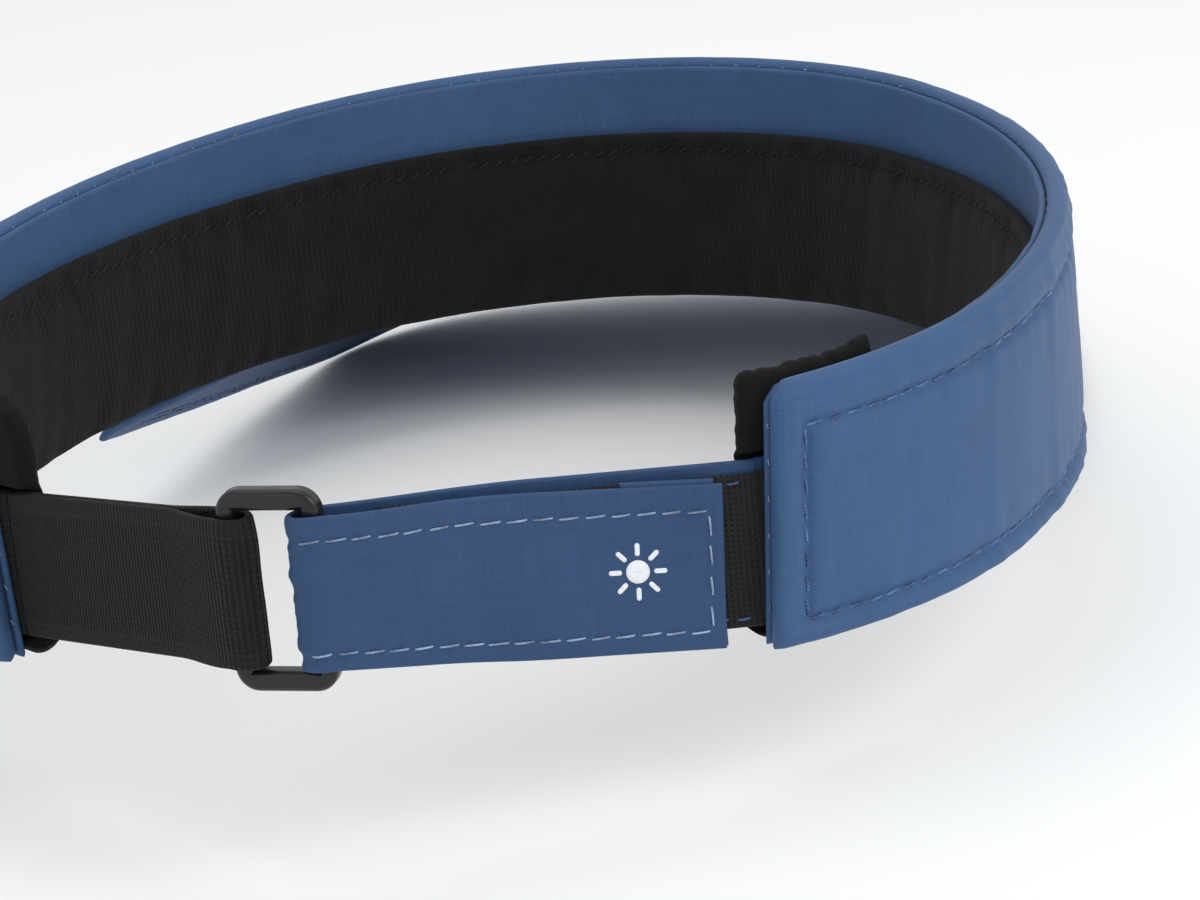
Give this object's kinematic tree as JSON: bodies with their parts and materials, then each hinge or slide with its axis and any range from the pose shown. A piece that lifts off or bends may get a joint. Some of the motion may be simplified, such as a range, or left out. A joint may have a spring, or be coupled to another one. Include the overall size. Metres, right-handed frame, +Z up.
{
  "type": "sun visor",
  "caption": "Sun visor with a padded fabric band open at the back, a curved covered brim, and a webbing, ring and hook-and-loop tab closure.",
  "frame": {"origin": "centre of the head opening, level with the band's bottom edge at its sides and rear", "axes": "the wearer faces -Y, the wearer's left is +X, +Z is up, and the head comes in from below along +Z"},
  "size_m": [0.1668, 0.2712, 0.0592],
  "materials": {
    "blue_fabric": "plain-woven polyester, satin sheen",
    "lining_fabric": "plain-woven polyester",
    "foam": "soft open-cell foam",
    "black_knit": "brushed knit, matte",
    "black_webbing": "ribbed elastic webbing, matte",
    "loop_tape": "woven loop tape, matte",
    "hook_tape": "moulded hook tape, matte",
    "black_plastic": "moulded, satin",
    "brim_board": "plain sheet, matte",
    "white_print": "printed ink, matte",
    "thread": "sewing thread"
  },
  "bodies": {
    "band": {"band_shell": "blue_fabric", "band_foam": "foam", "band_lining": "lining_fabric", "sweatband": "black_knit", "end_pad_left": "black_knit", "end_pad_right": "black_knit", "strap_anchor": "blue_fabric", "webbing_anchor": "black_webbing", "brim_top_cover": "blue_fabric", "brim_board": "brim_board", "brim_bottom_cover": "lining_fabric", "side_mark": "white_print"},
    "strap": {"strap_leg": "blue_fabric", "strap_fold": "blue_fabric", "loop_tape": "loop_tape"},
    "tab": {"strap_tab": "blue_fabric", "hook_tape": "hook_tape", "tab_stitching": "thread", "tab_mark": "white_print"},
    "webbing": {"webbing": "black_webbing"},
    "ring": {"ring": "black_plastic"}
  },
  "joints": [
    {"name": "strap_swing", "type": "hinge", "parent": "band", "child": "strap", "pos_m": [-0.04941, 0.07088, 0.0133], "axis": [0, 0, 1], "range_deg": [-1.2, 1.2]},
    {"name": "webbing_swing", "type": "hinge", "parent": "band", "child": "webbing", "pos_m": [0.04925, 0.07063, 0.0127], "axis": [0, 0, 1], "range_deg": [-1.45, 1.45]},
    {"name": "ring_swing", "type": "hinge", "parent": "webbing", "child": "ring", "pos_m": [0.00932, 0.10039, 0.01915], "axis": [0, 0, 1], "range_deg": [-12, 12]},
    {"name": "tab_peel", "type": "hinge", "parent": "strap", "child": "tab", "pos_m": [-0.00166, 0.10105, 0.01915], "axis": [0, 0, -1], "range_deg": [0, 120], "deforming": ["strap_fold"]}
  ],
  "couplings": [
    {"joint": "webbing_swing", "follows": "strap_swing", "ratio": 1.2048},
    {"joint": "ring_swing", "follows": "strap_swing", "ratio": -9.9345}
  ]
}
